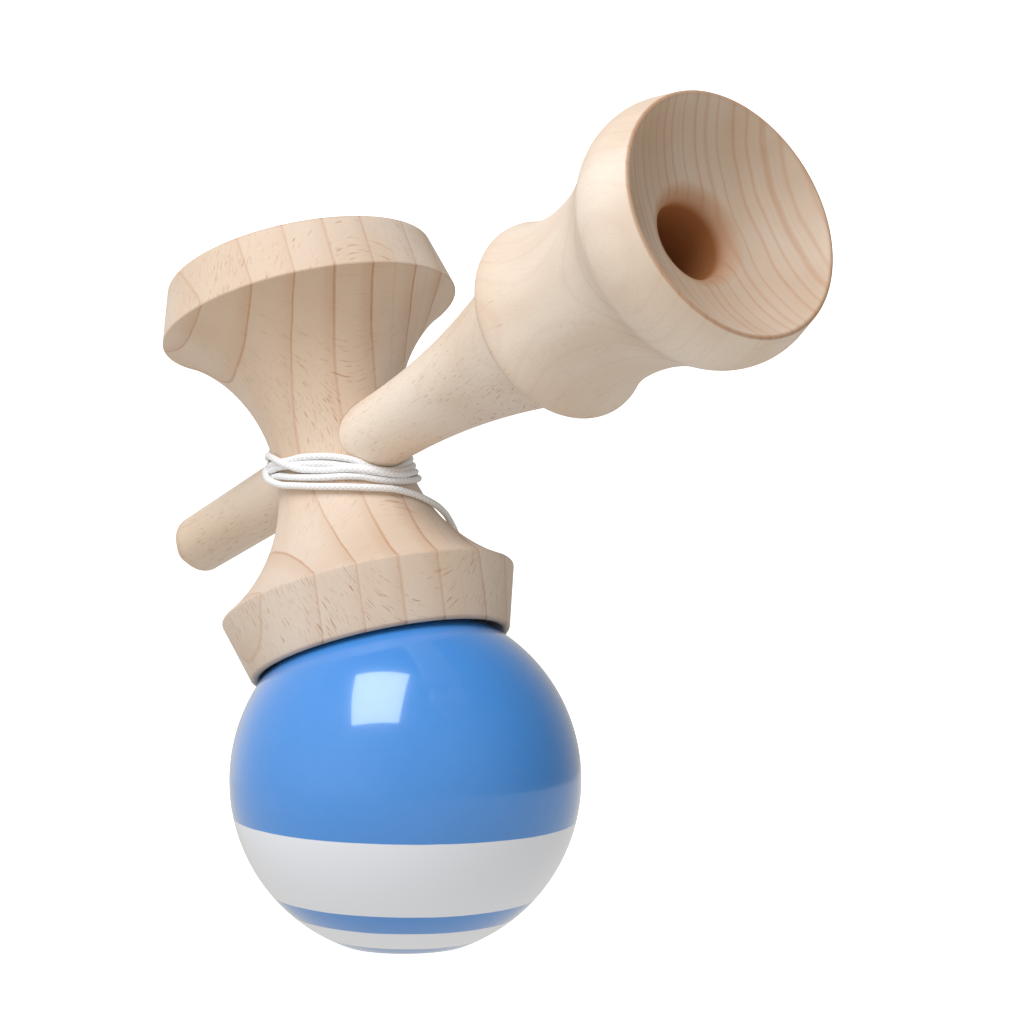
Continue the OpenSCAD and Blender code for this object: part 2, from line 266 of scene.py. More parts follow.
# Turned outlines
# A bowl meets the round of its lip this far in and down, as shares of the round's radius
LIP_IN = 0.8
LIP_DOWN = 0.4
LIP_END = 180 - math.degrees(math.acos(LIP_IN))

# How much turning and handling have darkened the wood, with painted shade added in the base's hole: 0 is
# bare and 1 is burnt
CUP_LIP_DARK = 0.14
CUP_CORNER_DARK = 0.1
TIP_DARK = 0.2
TIP_SIDE_DARK = 0.12
COLLAR_DARK = 0.06
BASE_LIP_DARK = 0.5
# The base's hole: darker drilled wood, and painted shade that spreads over its mouth's round
HOLE_BURN_AND_SHADE = 1.0
HOLE_BURN_AND_SHADE_RISE = 0.8


def bowl(lip_r, lip_round, depth, mouth_station):
    """A bowl that runs into its lip: its radius, its centre's station and its mouth's angle in degrees."""
    mouth = lip_r - LIP_IN * lip_round
    drop = depth - LIP_DOWN * lip_round
    radius = (mouth ** 2 + drop ** 2) / (2 * drop)
    return radius, mouth_station - depth + radius, math.degrees(math.atan2(drop - radius, mouth))


def cup_outline(lip_r, depth, height):
    """One end of the cross-piece, from its bowl's middle over the lip to the waist."""
    lip_steps = 14
    band_steps = 6
    corner_steps = 7
    radius, centre, mouth = bowl(lip_r, LIP_ROUND, depth, height)
    lip = (lip_r, height - LIP_ROUND)
    down = Vector((math.sin(BAND_TAPER), -math.cos(BAND_TAPER)))
    edge = Vector(lip) + LIP_ROUND * Vector((math.cos(BAND_TAPER), math.sin(BAND_TAPER)))
    flank = Vector((WAIST_R + FLANK_R, 0))
    v = edge - flank
    run = -v.dot(down) - math.sqrt(v.dot(down) ** 2 - v.dot(v) + FLANK_R ** 2)
    corner = edge + run * down
    into = Vector((flank.y - corner.y, corner.x - flank.x)).normalized()
    above = corner - CORNER_ROUND * down
    below = corner + CORNER_ROUND * into
    first = math.degrees(math.atan2(below.y - flank.y, below.x - flank.x))
    rounded = []
    for i in range(corner_steps):
        u = i / corner_steps
        p = (1 - u) ** 2 * above + 2 * u * (1 - u) * corner + u * u * below
        rounded.append((p.x, p.y, CUP_CORNER_DARK * math.sin(math.pi * u)))
    band = [edge + (above - edge) * i / band_steps for i in range(1, band_steps)]
    lip_arc = arc(lip, LIP_ROUND, LIP_END, math.degrees(BAND_TAPER), lip_steps)
    return (
        plain(arc((0, centre), radius, -90, mouth, 40)[:-1])
        + [(r, s, CUP_LIP_DARK * math.sin(math.pi * i / lip_steps)) for i, (r, s) in enumerate(lip_arc)]
        + plain([(p.x, p.y) for p in band])
        + rounded
        + plain(arc(flank, FLANK_R, first, 180, 48))
    )


def hollow(r0, s0, radius, start, end, steps):
    """Points of a hollow that is narrowest, r0, at station s0."""
    stations = [start + (end - start) * i / steps for i in range(steps + 1)]
    return [(r0 + radius - math.sqrt(radius ** 2 - (s - s0) ** 2), s) for s in stations]


def socket_r(station):
    """Radius of the handle in its tapered socket, by the station."""
    return SOCKET_R + SOCKET_SLOPE * station


def handle_outline():
    """The handle, from the tip of its spike to the floor of the hole in its base.

    The collar's edge, the hollow neck, the base's round and its lip run into one another."""
    lip_steps = 10
    hole_steps = 12
    radius, centre, mouth = bowl(BASE_LIP_R, BASE_LIP_ROUND, BASE_BOWL_DEPTH, BASE_LEN)
    neck_c = (NECK_R + NECK_HOLLOW_R, NECK_AT)
    x = BASE_R - BASE_ROUND
    rise = math.sqrt((NECK_HOLLOW_R + BASE_ROUND) ** 2 - (neck_c[0] - x) ** 2)
    round_c = Vector((x, NECK_AT + rise))
    lip_c = Vector((BASE_LIP_R, BASE_LEN - BASE_LIP_ROUND))
    hollow_turn = math.degrees(math.atan2(NECK_AT - round_c.y, neck_c[0] - round_c.x))
    hollow_end = round_c.y + BASE_ROUND * math.sin(math.radians(hollow_turn))
    v = lip_c - round_c
    band = math.degrees(math.atan2(-v.x, v.y) + math.asin((BASE_ROUND - BASE_LIP_ROUND) / v.length))
    mouth_x = BASE_HOLE_R + BASE_HOLE_ROUND
    mouth_c = (mouth_x, centre - math.sqrt((radius + BASE_HOLE_ROUND) ** 2 - mouth_x ** 2))
    hole_turn = math.degrees(math.atan2(centre - mouth_c[1], -mouth_c[0]))
    hole_bottom = BASE_LEN - BASE_BOWL_DEPTH - BASE_HOLE_DEPTH
    tip_side = (SPIKE_R, -SPIKE_LEN + TIP_LEN)
    collar_back = COLLAR_AT - COLLAR_EDGE_R
    collar_c = (COLLAR_R - COLLAR_EDGE_R, COLLAR_AT)
    run = NECK_AT - COLLAR_AT
    step = collar_c[0] - NECK_R
    collar_hollow_r = (run ** 2 + step ** 2 - COLLAR_EDGE_R ** 2) / (2 * (COLLAR_EDGE_R + step))
    collar_turn = math.degrees(math.atan2(run, collar_hollow_r - step))
    collar_front = COLLAR_AT + COLLAR_EDGE_R * math.sin(math.radians(collar_turn))
    lip_arc = arc(lip_c, BASE_LIP_ROUND, band, LIP_END, lip_steps)[:-1]
    lip_turns = [math.pi * (i + 1) / (lip_steps + 1) for i in range(lip_steps)]
    hole_arc = arc(mouth_c, BASE_HOLE_ROUND, hole_turn, 180, hole_steps)
    spike_growth = (socket_r(-WAIST_R) - SPIKE_R) / (SPIKE_LEN - TIP_LEN - WAIST_R)
    fade_end = (SPIKE_R + TIP_FADE * spike_growth, tip_side[1] + TIP_FADE)
    return (
        [(0, -SPIKE_LEN, TIP_DARK)]
        + plain(arc((TIP_R - TIP_ROUND, -SPIKE_LEN + TIP_ROUND), TIP_ROUND, -90, -30, 6), TIP_DARK)
        + [(*tip_side, TIP_SIDE_DARK)]
        + plain([fade_end, (socket_r(-WAIST_R), -WAIST_R)])
        + plain(hollow(socket_r(SWEEP_FROM), SWEEP_FROM, SWEEP_R, SWEEP_FROM, collar_back, 48))
        + plain(arc(collar_c, COLLAR_EDGE_R, -90, collar_turn, 16), COLLAR_DARK)
        + plain(hollow(NECK_R, NECK_AT, collar_hollow_r, collar_front, NECK_AT, 20)[1:-1])
        + plain(hollow(NECK_R, NECK_AT, NECK_HOLLOW_R, NECK_AT, hollow_end, 30)[:-1])
        + plain(arc(round_c, BASE_ROUND, hollow_turn, band, 16))
        + [(r, s, BASE_LIP_DARK * math.sin(a) ** 2) for (r, s), a in zip(lip_arc, lip_turns)]
        + plain(arc((0, centre), radius, mouth, hole_turn - 180, 40)[:-1])
        # Painted shade over the mouth's round, deepening into the darker wood of the hole
        + [(r, s, HOLE_BURN_AND_SHADE * (i / hole_steps) ** HOLE_BURN_AND_SHADE_RISE) for i, (r, s) in enumerate(hole_arc)]
        + plain([(BASE_HOLE_R, hole_bottom + BASE_HOLE_ROW), (BASE_HOLE_R, hole_bottom)], HOLE_BURN_AND_SHADE)
        + plain([(0, hole_bottom)], HOLE_BURN_AND_SHADE)
    )


# Materials
class Nodes:
    """Short calls for the shader nodes of a material or of the world."""

    def __init__(self, owner):
        owner.use_nodes = True
        self.owner = owner
        self.tree = owner.node_tree

    def put(self, socket, value):
        if isinstance(value, bpy.types.NodeSocket):
            self.tree.links.new(value, socket)
        else:
            socket.default_value = value

    def add(self, kind, values=(), **settings):
        node = self.tree.nodes.new(kind)
        for key, value in settings.items():
            setattr(node, key, value)
        for key, value in dict(values).items():
            self.put(node.inputs[key], value)
        return node

    def math(self, operation, a, b=0.0):
        return self.add("ShaderNodeMath", {0: a, 1: b}, operation=operation).outputs[0]

    def step(self, value, low, high, to=1.0):
        """A smooth step that rises from nothing at low to its full height at high."""
        node = self.add(
            "ShaderNodeMapRange",
            {"Value": value, "From Min": low, "From Max": high, "To Min": 0.0, "To Max": to},
            interpolation_type="SMOOTHSTEP",
        )
        return node.outputs[0]

    def noise(self, vector, detail, roughness=0.5):
        values = {"Vector": vector, "Scale": 1.0, "Detail": detail, "Roughness": roughness}
        return self.add("ShaderNodeTexNoise", values).outputs["Fac"]

    def even_noise(self, scale, detail, roughness=0.5):
        """Noise that is as fine in every direction, by its scale per millimetre."""
        return self.noise(self.mapped((scale,) * 3), detail, roughness)

    def noise_1d(self, value, scale):
        values = {"W": value, "Scale": scale, "Detail": 1.0}
        return self.add("ShaderNodeTexNoise", values, noise_dimensions="1D").outputs["Fac"]

    def centred(self, noise, reach):
        """A noise from 0 to 1, moved to lie about zero and scaled."""
        return self.math("MULTIPLY", self.math("SUBTRACT", noise, 0.5), reach)

    def mix(self, factor, a, b):
        node = self.add("ShaderNodeMix", data_type="RGBA")
        self.put(node.inputs[0], factor)
        self.put(node.inputs[6], a)
        self.put(node.inputs[7], b)
        return node.outputs[2]

    def mapped(self, scale=(1, 1, 1), turn=0.0, shift=(0, 0, 0)):
        """The object's own coordinates in millimetres, turned about Z and then scaled."""
        own = self.add("ShaderNodeTexCoord").outputs["Object"]
        turned = self.add(
            "ShaderNodeMapping",
            {"Vector": own, "Rotation": (0, 0, turn), "Scale": (1 / MM,) * 3, "Location": shift},
        )
        scaled = self.add("ShaderNodeMapping", {"Vector": turned.outputs[0], "Scale": scale})
        return scaled.outputs[0]

    def bump(self, height, distance, strength):
        values = {"Height": height, "Distance": distance, "Strength": strength}
        shader = self.tree.nodes["Principled BSDF"]
        self.put(shader.inputs["Normal"], self.add("ShaderNodeBump", values).outputs[0])

    def finish(self, **values):
        for key, value in values.items():
            socket = key.replace("_", " ").title().replace("Ior", "IOR")
            self.put(self.tree.nodes["Principled BSDF"].inputs[socket], value)
        return self.owner


def new_material(name):
    return Nodes(bpy.data.materials.new(name))


def colour(red, green, blue):
    """A display colour from 0 to 255 as linear light."""
    def linear(v):
        v = v / 255
        return v / 12.92 if v <= 0.04045 else ((v + 0.055) / 1.055) ** 2.4
    return (linear(red), linear(green), linear(blue), 1)


PALE_BEECH = colour(231, 213, 194)
WARM_BEECH = colour(221, 196, 170)
RING_BEECH = colour(190, 142, 102)
RAY_BEECH = colour(174, 114, 68)
LINE_BEECH = colour(184, 126, 82)
# Burnt wood, and painted shade in the base's hole
BURNT_AND_SHADED_BEECH = colour(186, 126, 78)
END_BEECH = colour(172, 144, 116)

# Noise scales per millimetre: along the rings, away from the pith and along the grain
WANDER_SCALE = (0.05, 0.05, 0.012)
RAGGED_SCALE = (0.9, 0.9, 0.25)
CROWD_SCALE = (0.11, 0.09, 0.06)
RAY_SCALE = (6.2, 0.15, 0.42)
SPECK_SCALE = (8.5, 0.34, 0.46)
PORE_SCALE = (9.0, 9.0, 0.42)
CLOUD_SCALE = (0.06, 0.06, 0.02)

# Rings: their sway in millimetres, how the years vary in width, and the dark lines between them
RING_SWAY = 2.6
YEAR_SCALE = 0.9
YEAR_SHIFT = 0.6
LATE_WOOD_SHARE = 0.4
LINE_CORE = 0.15
LINE_RAGGED = 0.7
LINE_LEAST = 0.5
LINE_LUCK = 0.4
HALF_LINE = 0.35
HALF_LINE_LEAST = 0.6
HALF_LINE_LUCK = (0.35, 0.8)

# The range of each noise, or of the slope to the grain, over which its mark comes in
END_GRAIN_RANGE = (0.3, 0.75)
RAY_RANGE = (0.74, 0.8)
SPECK_RANGE = (0.73, 0.79)
PORE_RANGE = (0.52, 0.75)
CLOUD_RANGE = (0.3, 0.7)

# Flecks: how they crowd, how far the small ones are moved aside, and where they thin out along the grain
CROWD_REACH = 0.16
SPECKS_ASIDE = 60
FLECKS_FADE = (85.0, 120.0)
FLECKS_LOST = 0.75
FLECKS_LOST_ON_END = 0.5

# How strongly each mark tints the wood, and how deep it lies in it
CLOUD_TINT = 0.8
LATE_WOOD_TINT = 0.26
LINE_TINT = 0.9
PORE_TINT = 0.2
SPECK_TINT = 0.4
RAY_TINT = 0.55
RAY_SUNK = 0.4
PORE_SUNK = 0.3
GRAIN_DEPTH = 0.04 * MM


def beech(
    name, ring_turn, ring_width, pith_away, shift, pale,
    line_width, line_dark, side_rings, specks, end_dark,
):
    """Turned beech: growth rings round a far pith, rays that run from it, and fine pores along the grain.

    After the turn, X lies along the rings, Y away from the pith and Z along the grain. Rings show more
    where the cut goes across the grain, and ray flecks show less there."""
    n = new_material(name)

    def grain_noise(scale, detail, roughness=0.5, aside=0):
        place = (shift[0] + aside, *shift[1:])
        return n.noise(n.mapped(scale, ring_turn, place), detail, roughness)

    # Each point's year, and its season from half a year before the line to half a year after it
    x, y, z = n.add("ShaderNodeSeparateXYZ", {0: n.mapped(turn=ring_turn, shift=shift)}).outputs
    away = n.math("ADD", y, pith_away)
    reach = n.math("SQRT", n.math("ADD", n.math("MULTIPLY", x, x), n.math("MULTIPLY", away, away)))
    swayed = n.math("ADD", reach, n.centred(grain_noise(WANDER_SCALE, 2), RING_SWAY))
    years = n.math("DIVIDE", swayed, ring_width)
    years = n.math("ADD", years, n.centred(n.noise_1d(years, YEAR_SCALE), YEAR_SHIFT))
    year = n.math("FLOOR", n.math("ADD", years, 0.5))
    season = n.math("SUBTRACT", n.math("FRACT", n.math("ADD", years, 0.5)), 0.5)
    luck = n.add("ShaderNodeTexWhiteNoise", {"W": year}, noise_dimensions="1D").outputs[0]

    # A dark line between the years, a fainter one half-way through some, and late wood before the line
    ragged = n.centred(grain_noise(RAGGED_SCALE, 3, 0.7), LINE_RAGGED)
    off_line = n.math("MULTIPLY", n.math("ABSOLUTE", season), ring_width)
    off_half = n.math("SUBTRACT", 0.5 * ring_width, off_line)
    core = LINE_CORE * line_width
    strength = n.math("ADD", n.math("ADD", n.math("MULTIPLY", luck, LINE_LUCK), LINE_LEAST), ragged)
    faint = n.step(luck, *HALF_LINE_LUCK, HALF_LINE)
    faint = n.math("MULTIPLY", faint, n.math("ADD", ragged, HALF_LINE_LEAST))
    full_line = n.math("MULTIPLY", n.step(off_line, line_width, core), strength)
    half_line = n.math("MULTIPLY", n.step(off_half, line_width, core), faint)
    late_line = n.math("MAXIMUM", full_line, half_line)
    before_line = n.math("LESS_THAN", season, 0.0)
    late_wood = n.math("MULTIPLY", n.step(off_line, LATE_WOOD_SHARE * ring_width, 0.0), before_line)

    # How much of the rings shows, by the slope of the cut to the grain
    own_normal = n.add("ShaderNodeTexCoord").outputs["Normal"]
    along = n.add("ShaderNodeSeparateXYZ", {0: own_normal}).outputs[2]
    end_grain = n.step(n.math("ABSOLUTE", along), *END_GRAIN_RANGE)
    rings_show = n.math("ADD", n.math("MULTIPLY", end_grain, 1 - side_rings), side_rings)
    rings_show = n.math("MULTIPLY", rings_show, line_dark)
    late_wood = n.math("MULTIPLY", late_wood, rings_show)
    late_line = n.math("MULTIPLY", late_line, rings_show)

    # Ray flecks, specks and pores
    crowd = n.math("MULTIPLY", grain_noise(CROWD_SCALE, 1), CROWD_REACH)
    rays = n.math("ADD", grain_noise(RAY_SCALE, 1.5, 0.55), crowd)
    fine_rays = n.math("ADD", grain_noise(SPECK_SCALE, 1, aside=SPECKS_ASIDE), crowd)
    sharp = n.math("ADD", n.step(z, *FLECKS_FADE, -FLECKS_LOST), 1.0)
    rays_show = n.math("SUBTRACT", 1.0, n.math("MULTIPLY", end_grain, FLECKS_LOST_ON_END))
    rays_show = n.math("MULTIPLY", rays_show, sharp)
    ray_mark = n.math("MULTIPLY", n.step(rays, *RAY_RANGE), rays_show)
    speck_mark = n.math("MULTIPLY", n.step(fine_rays, *SPECK_RANGE, specks), rays_show)
    pore_mark = n.step(grain_noise(PORE_SCALE, 2, 0.6), *PORE_RANGE)

    # Colour and relief
    tone = n.mix(n.step(grain_noise(CLOUD_SCALE, 2), *CLOUD_RANGE, CLOUD_TINT), pale, WARM_BEECH)
    for mark, amount, tint in (
        (end_grain, end_dark, END_BEECH),
        (late_wood, LATE_WOOD_TINT, RING_BEECH),
        (late_line, LINE_TINT, LINE_BEECH),
        (pore_mark, PORE_TINT, RING_BEECH),
        (speck_mark, SPECK_TINT, RAY_BEECH),
        (ray_mark, RAY_TINT, RAY_BEECH),
    ):
        tone = n.mix(n.math("MULTIPLY", mark, amount), tone, tint)
    # Burnish, and painted shade in the base's hole
    burnish = n.add("ShaderNodeAttribute", attribute_name="burnish").outputs["Fac"]
    tone = n.mix(burnish, tone, BURNT_AND_SHADED_BEECH)
    sunk_rays = n.math("MULTIPLY", ray_mark, -RAY_SUNK)
    sunk_pores = n.math("MULTIPLY", pore_mark, -PORE_SUNK)
    n.bump(n.math("ADD", sunk_rays, sunk_pores), GRAIN_DEPTH, 0.5)
    return n.finish(base_color=tone, roughness=0.58, specular_ior_level=0.3)


PAINT_BLUE = colour(66, 144, 224)
PALER_BLUE = colour(80, 156, 234)
PAINT_WHITE = colour(242, 245, 251)

# The white bands' edges, in millimetres from the ball's middle along the axis they were painted about
PAINT_AXIS = (0.0275, -0.002, 1.0)
WIDE_BAND_TOP = -6.45
WIDE_BAND_END = -19.7
LOW_BAND_TOP = -23.16
LOW_BAND_END = -26.8
PAINT_EDGE = 0.06

# Unevenness of the paint: noise scales per millimetre, and what each noise does
WAVER_SCALE = 0.12
WAVER = 0.25
SHADE_SCALE = 0.4
SHADE_RANGE = (0.35, 0.7)
SHADE_TINT = 0.12
PEEL_SCALE = 0.35
PEEL_DEPTH = 0.02 * MM
SCUFF_SCALE = 1.2
SCUFF_RANGE = (0.62, 0.8)
SCUFF_ROUGH = 0.1
PAINT_ROUGH = 0.2


def lacquer():
    """Blue gloss paint with two white bands, by height under the ball's middle.

    The bands were painted a little off the ball's axis."""
    n = new_material("ball_lacquer")
    values = {0: n.mapped(), 1: PAINT_AXIS}
    height = n.add("ShaderNodeVectorMath", values, operation="DOT_PRODUCT").outputs["Value"]
    height = n.math("ADD", height, n.centred(n.even_noise(WAVER_SCALE, 2), WAVER))

    def below(level):
        return n.step(n.math("MULTIPLY", height, -1), -level - PAINT_EDGE, -level + PAINT_EDGE)

    wide_band = n.math("SUBTRACT", below(WIDE_BAND_TOP), below(WIDE_BAND_END))
    low_band = n.math("SUBTRACT", below(LOW_BAND_TOP), below(LOW_BAND_END))
    white = n.math("ADD", wide_band, low_band)
    shade = n.step(n.even_noise(SHADE_SCALE, 4), *SHADE_RANGE, SHADE_TINT)
    blue = n.mix(shade, PAINT_BLUE, PALER_BLUE)
    n.bump(n.even_noise(PEEL_SCALE, 1), PEEL_DEPTH, 0.25)
    scuff = n.step(n.even_noise(SCUFF_SCALE, 6, 0.7), *SCUFF_RANGE, SCUFF_ROUGH)
    rough = n.math("ADD", scuff, PAINT_ROUGH)
    return n.finish(
        base_color=n.mix(white, blue, PAINT_WHITE), roughness=rough, coat_weight=1.0, coat_roughness=0.04,
    )


# Braid: strands round the string each way, their pitch along it in millimetres, and the string's colours,
# with a grey painted shade for the grooves between strands
BRAID_STRANDS = 4
BRAID_PITCH = 0.9
BRAID_RANGE = (-0.6, 0.8)
BRAID_DEPTH = 0.05 * MM
STRING_LIGHT = colour(255, 255, 255)
STRING_DULL = colour(251, 251, 250)
STRING_GROOVE_SHADE = colour(206, 206, 206)
GROOVE_SHADE_TINT = 0.45


def string_white():
    """White braided string: two sets of strands cross on its skin, by its u round it and its v along it,
    with painted shade in the grooves between them.
    """
    n = new_material("string_white")
    lay = n.add("ShaderNodeUVMap", uv_map="lay").outputs[0]
    around, along = n.add("ShaderNodeSeparateXYZ", {0: lay}).outputs[:2]
    turn = n.math("MULTIPLY", around, BRAID_STRANDS * 2 * math.pi)
    slant = n.math("MULTIPLY", along, 2 * math.pi / BRAID_PITCH)
    one = n.math("SINE", n.math("ADD", turn, slant))
    other = n.math("SINE", n.math("SUBTRACT", turn, slant))
    ridge = n.step(n.math("MAXIMUM", one, other), *BRAID_RANGE)
    tone = n.mix(n.step(n.even_noise(1.5, 3), 0.3, 0.7), STRING_LIGHT, STRING_DULL)
    # Painted shade: the grooves between the strands are tinted grey
    groove_shade = n.math("MULTIPLY", n.math("SUBTRACT", 1.0, ridge), GROOVE_SHADE_TINT)
    tone = n.mix(groove_shade, tone, STRING_GROOVE_SHADE)
    n.bump(ridge, BRAID_DEPTH, 0.6)
    return n.finish(base_color=tone, roughness=0.62, specular_ior_level=0.25, sheen_weight=0.25)


WHITE_STRING = string_white()


# String: one route out of its hole, round the waist and down its tail to the ball
def on_spline(points, spacing):
    """Points a given distance apart on a smooth curve through control points."""
    p = np.array([2 * points[0] - points[1], *points, 2 * points[-1] - points[-2]], float)
    fine = []
    for i in range(1, len(p) - 2):
        for u in np.linspace(0, 1, 24, endpoint=False):
            fine.append(0.5 * (
                2 * p[i] + u * (p[i + 1] - p[i - 1])
                + u ** 2 * (2 * p[i - 1] - 5 * p[i] + 4 * p[i + 1] - p[i + 2])
                + u ** 3 * (3 * p[i] - p[i - 1] - 3 * p[i + 1] + p[i + 2])
            ))
    fine.append(p[-2])
    fine = np.array(fine)
    run = np.concatenate([[0], np.cumsum(np.linalg.norm(np.diff(fine, axis=0), axis=1))])
    at = np.linspace(0, run[-1], max(2, round(run[-1] / spacing)) + 1)
    return np.stack([np.interp(at, run, fine[:, k]) for k in range(fine.shape[1])], axis=1)


# The string in its hole, along Y
LEAD_ROUTE = (SOCKET_R + FIT_GAP, 8.5, 10.8, 12.2)

# Angle in degrees from the handle round the waist, and height over the handle's axis. The string passes
# under the handle at whole turns and over the spike at half turns. Where the photograph shows it, its
# points follow the photograph, and behind the toy they are chosen one by one
FIRST_TURN = [
    (98, 0.9), (110, 2.6), (128, 5.0), (150, 7.0), (180, 7.0), (195, 6.0), (207, 3.4), (215, 0.6),
    (226, -0.7), (238, -1.4), (248, -2.0), (260.5, -2.7), (277.8, -4.2), (296.2, -5.7), (309.8, -6.6),
    (321.2, -7.1), (329.5, -7.5), (337, -7.9), (347.5, -8.7), (362.8, -9.3), (383.5, -8.7),
]
SECOND_TURN = [
    (405, -7.3), (425, -5.8), (450, -4.4), (480, 0.2), (510, 5.8), (540, 8.0), (558, 5.6), (567, 3.6),
    (575, 1.9), (586, 1.2), (598, 0.8), (608, 0.4), (622, -0.2), (636.5, -1.05), (648.8, -1.4),
    (662.2, -2.1), (674.5, -2.85), (685.8, -3.75), (695.5, -4.7), (703.2, -5.95), (710, -6.7),
    (721.2, -7.05), (734, -6.4), (748.8, -5.0),
]
THIRD_TURN = [
    (765, -3.5), (785, -1.9), (810, -0.6), (840, 3.2), (870, 7.2), (900, 9.0), (918, 6.4), (927, 4.2),
    (935, 2.0), (946, 0.6), (958, -0.2), (968, -0.6), (982, -1.2), (999.5, -2.2), (1013.2, -2.9),
    (1024.8, -3.65), (1035, -4.35), (1046, -5.3), (1055.2, -6.05), (1062, -6.65), (1070.5, -7.25),
    (1087.5, -7.5), (1108.2, -6.1),
]
FOURTH_TURN = [
    (1125, -4.8), (1145, -3.3), (1170, -1.9), (1200, 1.6), (1230, 6.4), (1260, 7.8), (1278, 6.3),
    (1287, 4.8), (1295, 3.8), (1306, 3.3), (1318, 2.8), (1328, 1.9), (1342.2, 0.5), (1351.8, -1.0),
    (1361.5, -2.5), (1370, -3.7), (1379.5, -4.5), (1391, -5.3), (1401.8, -5.85), (1412.5, -6.5),
    (1423.2, -7.3), (1435.5, -8.0), (1449, -8.2), (1463, -7.4),
]
LAST_TURN = [
    (1485, -6.0), (1505, -4.6), (1530, -3.1), (1560, 0.8), (1590, 6.0), (1620, 9.6), (1635, 7.4),
    (1644, 4.8), (1652, 2.8), (1660, 1.6), (1668, 0.8), (1678, -0.6), (1690, -2.6), (1704.2, -4.55),
    (1723.2, -6.25), (1746.2, -8.2), (1772.8, -10.0), (1792.2, -10.9), (1803.5, -11.45),
]

# How the turns lie, in millimetres and degrees
WOUND_R = 14
WAIST_GAP = 0.03
TURN_STARTS = 60
MOST_LIFT = 0.85
MOST_SINK = 0.25
SOFTEN_POINTS = 13
LOOSE_FROM = 1640
LOOSE_TO = 1690
LOOSE_STANDS_OFF = 0.4
JOIN_FROM = 4
JOIN_EVERY = 6

# The tail, in the cross-piece's frame
TAIL_ROUTE = [
    (14.4, 3.9, -12.1), (13.9, 6.5, -12.9), (13.0, 8.8, -13.5), (11.9, 10.8, -14.1),
    (10.5, 12.7, -14.6), (9.1, 14.3, -15.2), (7.8, 15.8, -16.0), (6.5, 17.3, -17.2), (4.5, 19.8, -19.4),
    (1.6, 23.0, -22.4), (-1.4, 25.6, -24.6), (-4.4, 26.9, -26.8), (-7.2, 27.2, -29.4),
    (-9.8, 27.6, -32.8), (-11.4, 27.6, -36.2), (-12, 26.8, -39.4), (-11.4, 25, -41.2),
    (-9.6, 23.2, -40.8),
]

# The flat string on the ball, by angles in degrees from the ball's top
BRIDGE_HEADING = math.radians(121)
BRIDGE_FROM = 58
BRIDGE_SWELL = 5
BRIDGE_STOP_GAP = 0.1
BRIDGE_STEPS = 90
BRIDGE_R = BALL_R + PRESS_GAP + CORD_FLAT / 2

STRING_STEP = 0.3
STRING_SIDES = 16


def waist_at(height):
    """Radius of the cross-piece's flank, by the height over the handle's axis."""
    return WAIST_R + FLANK_R - np.sqrt(FLANK_R ** 2 - height ** 2)


def settle(turns):
    """Lays the turns on the waist, and each on the turns under it where it crosses them."""
    points = [np.array((math.radians(a) * WOUND_R, h)) for a, h in turns]
    route = on_spline(points, STRING_STEP)
    angle = route[:, 0] / WOUND_R
    height = route[:, 1]
    radius = waist_at(height) + CORD_D / 2 + WAIST_GAP
    turn_of = np.floor((angle - math.radians(TURN_STARTS)) / (2 * math.pi)).astype(int)
    near = 3 * CORD_D
    rounding = 4.0
    pressed = 0.8 * CORD_D
    for turn in range(turn_of.max() + 1):
        mine = np.where(turn_of == turn)[0]
        under = np.where(turn_of < turn)[0]
        lifted = radius[mine].copy()
        if len(under):
            for k, i in enumerate(mine):
                swing = (angle[i] - angle[under] + math.pi) % (2 * math.pi) - math.pi
                gap = (swing * radius[under]) ** 2 + (height[i] - height[under]) ** 2
                over = (gap < pressed ** 2) & (i - under > near / STRING_STEP)
                if over.any():
                    crossing = (radius[under][over] + np.sqrt(pressed ** 2 - gap[over])).max()
                    lifted[k] = max(lifted[k], min(crossing, radius[i] + MOST_LIFT))
        along = mine * STRING_STEP
        smooth = [(lifted - (along - s) ** 2 / (2 * rounding)).max() for s in along]
        radius[mine] = smooth
    loose = np.clip((angle - math.radians(LOOSE_FROM)) / math.radians(LOOSE_TO - LOOSE_FROM), 0, 1)
    radius += LOOSE_STANDS_OFF * loose ** 2 * (3 - 2 * loose)
    window = np.ones(SOFTEN_POINTS) / SOFTEN_POINTS
    soft = np.convolve(np.pad(radius, SOFTEN_POINTS // 2, mode="edge"), window, mode="valid")
    radius = np.maximum(soft, radius - MOST_SINK)
    return np.stack([radius * np.cos(angle), radius * np.sin(angle), height], axis=1)


def bridge_point(angle):
    """Where the flat string lies on the ball, by the angle in degrees from the top, in the part's frame."""
    swell = min(1, max(0, (angle - BRIDGE_FROM + BRIDGE_SWELL) / BRIDGE_SWELL))
    r = BRIDGE_R + (CORD_D - CORD_FLAT) / 2 * swell
    a = math.radians(angle)
    out = r * math.sin(a)
    return np.array((
        out * math.cos(BRIDGE_HEADING), out * math.sin(BRIDGE_HEADING), BALL_Z + r * math.cos(a),
    ))


def into_cross_frame(point):
    """A point of the part's frame in the cross-piece's, both in millimetres."""
    return np.array(CROSS_FRAME.inverted() @ Vector(point * MM)) / MM


